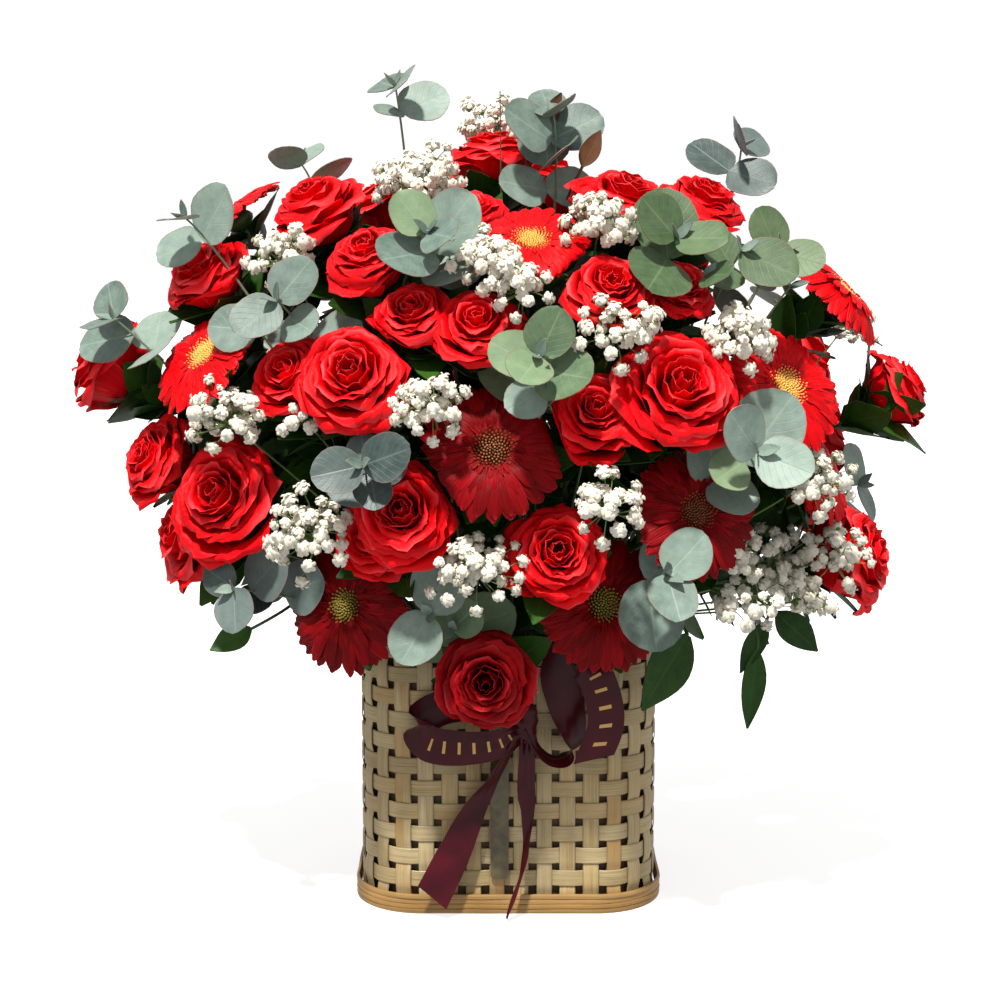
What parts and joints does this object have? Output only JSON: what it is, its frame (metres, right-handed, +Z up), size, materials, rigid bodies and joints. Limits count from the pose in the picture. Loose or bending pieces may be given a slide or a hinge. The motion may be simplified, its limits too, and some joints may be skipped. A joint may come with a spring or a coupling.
{
  "type": "flower basket arrangement",
  "caption": "Woven bamboo basket filled with a dome of red roses, red gerberas, round-leaved eucalyptus and white baby's breath, with a dark red satin bow and tails in front.",
  "frame": {"origin": "middle of the basket's flat underside", "axes": "+Z up, -Y towards the front with the bow, +X to the right as seen from the front"},
  "size_m": [0.5915, 0.4394, 0.5842],
  "materials": {
    "bamboo": "split bamboo, satin",
    "cane": "honey cane, satin",
    "liner": "dark waterproof film",
    "foam": "wet floral foam",
    "splint": "lacquered bamboo",
    "ribbon": "satin",
    "stem": "waxy green stem and leaf",
    "rose": "velvety petals",
    "gerbera": "satin petals",
    "eucalyptus": "leaf with a waxy bloom",
    "baby_breath": "dry white petals"
  },
  "bodies": {
    "root": {"basket_stakes": "bamboo", "basket_weaver": "bamboo", "basket_base_band": "cane", "basket_rim_band": "cane", "basket_liner": "liner", "floral_foam": "foam", "front_splint": "splint", "ribbon_bow": "ribbon", "flower_stems": "stem", "rose_01": "rose", "rose_02": "rose", "rose_03": "rose", "rose_04": "rose", "rose_05": "rose", "rose_06": "rose", "rose_07": "rose", "rose_08": "rose", "rose_09": "rose", "rose_10": "rose", "rose_11": "rose", "rose_12": "rose", "rose_13": "rose", "rose_14": "rose", "rose_15": "rose", "rose_16": "rose", "rose_17": "rose", "rose_18": "rose", "rose_19": "rose", "rose_20": "rose", "rose_bunch_back_1": "rose", "rose_bunch_back_2": "rose", "rose_bunch_back_3": "rose", "rose_bunch_back_4": "rose", "rose_bunch_back_5": "rose", "gerbera_01": "gerbera", "gerbera_02": "gerbera", "gerbera_03": "gerbera", "gerbera_04": "gerbera", "gerbera_05": "gerbera", "gerbera_06": "gerbera", "gerbera_07": "gerbera", "gerbera_08": "gerbera", "gerbera_09": "gerbera", "gerbera_10": "gerbera", "gerbera_back_1": "gerbera", "gerbera_back_2": "gerbera", "eucalyptus_1": "eucalyptus", "eucalyptus_2": "eucalyptus", "eucalyptus_3": "eucalyptus", "eucalyptus_4": "eucalyptus", "eucalyptus_5": "eucalyptus", "eucalyptus_6": "eucalyptus", "eucalyptus_7": "eucalyptus", "baby_breath_1": "baby_breath", "baby_breath_2": "baby_breath", "baby_breath_3": "baby_breath", "baby_breath_4": "baby_breath", "baby_breath_5": "baby_breath", "baby_breath_6": "baby_breath"}
  },
  "joints": []
}
